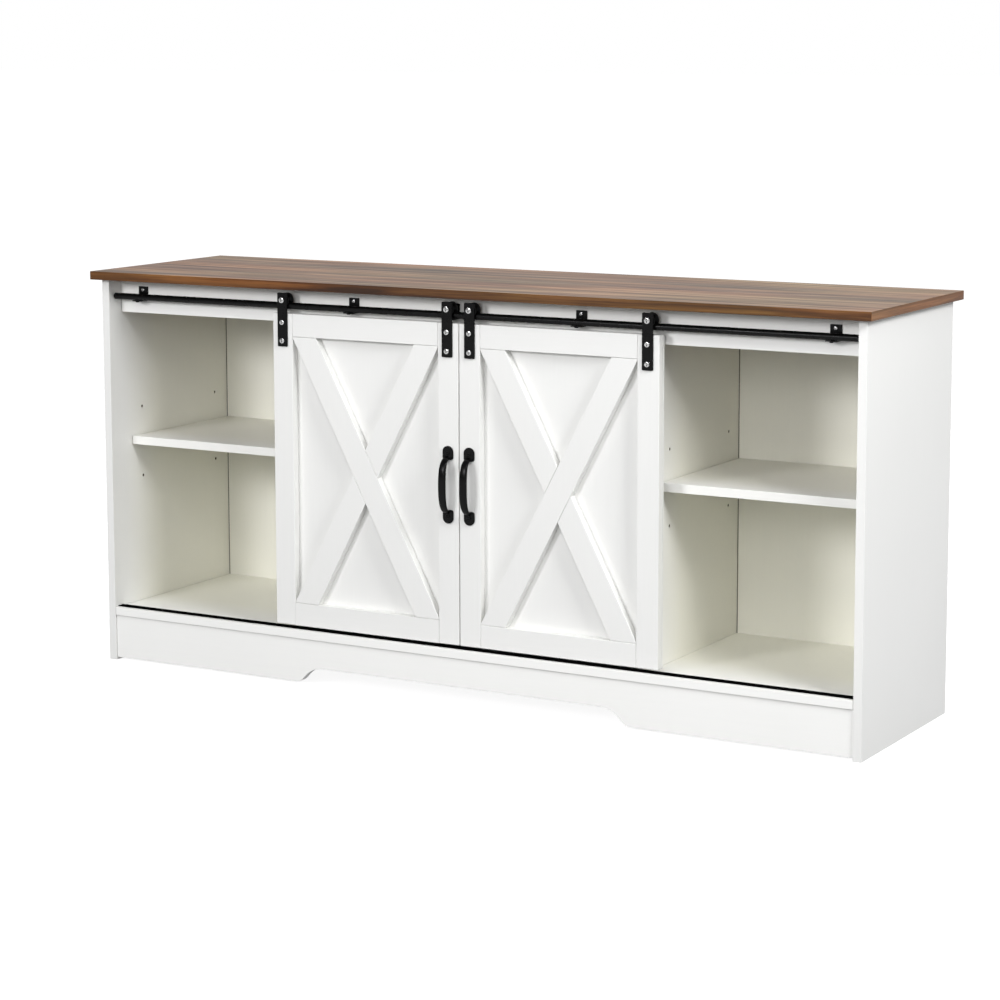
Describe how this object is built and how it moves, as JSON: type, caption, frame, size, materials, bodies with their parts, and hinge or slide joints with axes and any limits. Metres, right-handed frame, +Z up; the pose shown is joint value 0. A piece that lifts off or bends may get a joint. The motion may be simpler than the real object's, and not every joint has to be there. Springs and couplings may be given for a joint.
{
  "type": "tv stand with sliding doors",
  "caption": "Low media console with open shelf bays at both ends and framed sliding barn doors on a round rail over the centre bay.",
  "frame": {"origin": "on the floor, under the middle of the top panel", "axes": "+X along the width towards the right bay as seen from the front, +Y from the front to the back, +Z up"},
  "size_m": [1.4986, 0.3988, 0.7112],
  "materials": {
    "white_laminate": "satin white melamine on board",
    "brown_woodgrain": "embossed brown wood grain foil on board",
    "white_hardboard": "white foil on thin hardboard",
    "black_steel": "semi-matt black powder coat",
    "black_nylon": "black nylon",
    "zinc_steel": "bright zinc plate"
  },
  "bodies": {
    "carcass": {"top_panel": "brown_woodgrain", "left_side_panel": "white_laminate", "right_side_panel": "white_laminate", "left_divider": "white_laminate", "right_divider": "white_laminate", "bottom_panel": "white_laminate", "kick_board": "white_laminate", "front_fascia": "white_laminate", "back_panel_left": "white_hardboard", "back_panel_center": "white_hardboard", "back_panel_right": "white_hardboard", "left_shelf": "white_laminate", "right_shelf": "white_laminate", "left_shelf_pin_outer_front": "zinc_steel", "left_shelf_pin_outer_rear": "zinc_steel", "left_shelf_pin_inner_front": "zinc_steel", "left_shelf_pin_inner_rear": "zinc_steel", "right_shelf_pin_outer_front": "zinc_steel", "right_shelf_pin_outer_rear": "zinc_steel", "right_shelf_pin_inner_front": "zinc_steel", "right_shelf_pin_inner_rear": "zinc_steel", "rail_rod": "black_steel", "rail_bracket_1": "black_steel", "rail_bracket_2": "black_steel", "rail_bracket_3": "black_steel", "rail_bracket_4": "black_steel", "rail_bracket_5": "black_steel", "bottom_track": "black_steel"},
    "left_door": {"left_door_left_stile": "white_laminate", "left_door_right_stile": "white_laminate", "left_door_bottom_rail": "white_laminate", "left_door_top_rail": "white_laminate", "left_door_panel": "white_hardboard", "left_door_long_brace": "white_laminate", "left_door_upper_brace": "white_laminate", "left_door_lower_brace": "white_laminate", "left_door_handle": "black_steel", "left_door_hanger_strap_left": "black_steel", "left_door_axle_bolt_left": "zinc_steel", "left_door_hanger_strap_right": "black_steel", "left_door_axle_bolt_right": "zinc_steel", "left_door_guide_pin": "black_nylon"},
    "left_door_left_roller": {"left_door_roller_left": "black_nylon"},
    "left_door_right_roller": {"left_door_roller_right": "black_nylon"},
    "right_door": {"right_door_left_stile": "white_laminate", "right_door_right_stile": "white_laminate", "right_door_bottom_rail": "white_laminate", "right_door_top_rail": "white_laminate", "right_door_panel": "white_hardboard", "right_door_long_brace": "white_laminate", "right_door_upper_brace": "white_laminate", "right_door_lower_brace": "white_laminate", "right_door_handle": "black_steel", "right_door_hanger_strap_left": "black_steel", "right_door_axle_bolt_left": "zinc_steel", "right_door_hanger_strap_right": "black_steel", "right_door_axle_bolt_right": "zinc_steel", "right_door_guide_pin": "black_nylon"},
    "right_door_left_roller": {"right_door_roller_left": "black_nylon"},
    "right_door_right_roller": {"right_door_roller_right": "black_nylon"}
  },
  "joints": [
    {"name": "left_door_slide", "type": "slide", "parent": "carcass", "child": "left_door", "axis": [1, 0, 0], "range_m": [-0.345, 0]},
    {"name": "right_door_slide", "type": "slide", "parent": "carcass", "child": "right_door", "axis": [1, 0, 0], "range_m": [0, 0.339]},
    {"name": "left_door_left_roller_spin", "type": "hinge", "parent": "left_door", "child": "left_door_left_roller", "pos_m": [-0.3504, -0.1655, 0.676], "axis": [0, 1, 0], "continuous": true},
    {"name": "left_door_right_roller_spin", "type": "hinge", "parent": "left_door", "child": "left_door_right_roller", "pos_m": [-0.0189, -0.1655, 0.676], "axis": [0, 1, 0], "continuous": true},
    {"name": "right_door_left_roller_spin", "type": "hinge", "parent": "right_door", "child": "right_door_left_roller", "pos_m": [0.0246, -0.1655, 0.676], "axis": [0, 1, 0], "continuous": true},
    {"name": "right_door_right_roller_spin", "type": "hinge", "parent": "right_door", "child": "right_door_right_roller", "pos_m": [0.3561, -0.1655, 0.676], "axis": [0, 1, 0], "continuous": true}
  ],
  "couplings": [
    {"joint": "left_door_left_roller_spin", "follows": "left_door_slide", "rad_per_m": 238.09},
    {"joint": "left_door_right_roller_spin", "follows": "left_door_slide", "rad_per_m": 238.09},
    {"joint": "right_door_left_roller_spin", "follows": "right_door_slide", "rad_per_m": 238.09},
    {"joint": "right_door_right_roller_spin", "follows": "right_door_slide", "rad_per_m": 238.09}
  ]
}
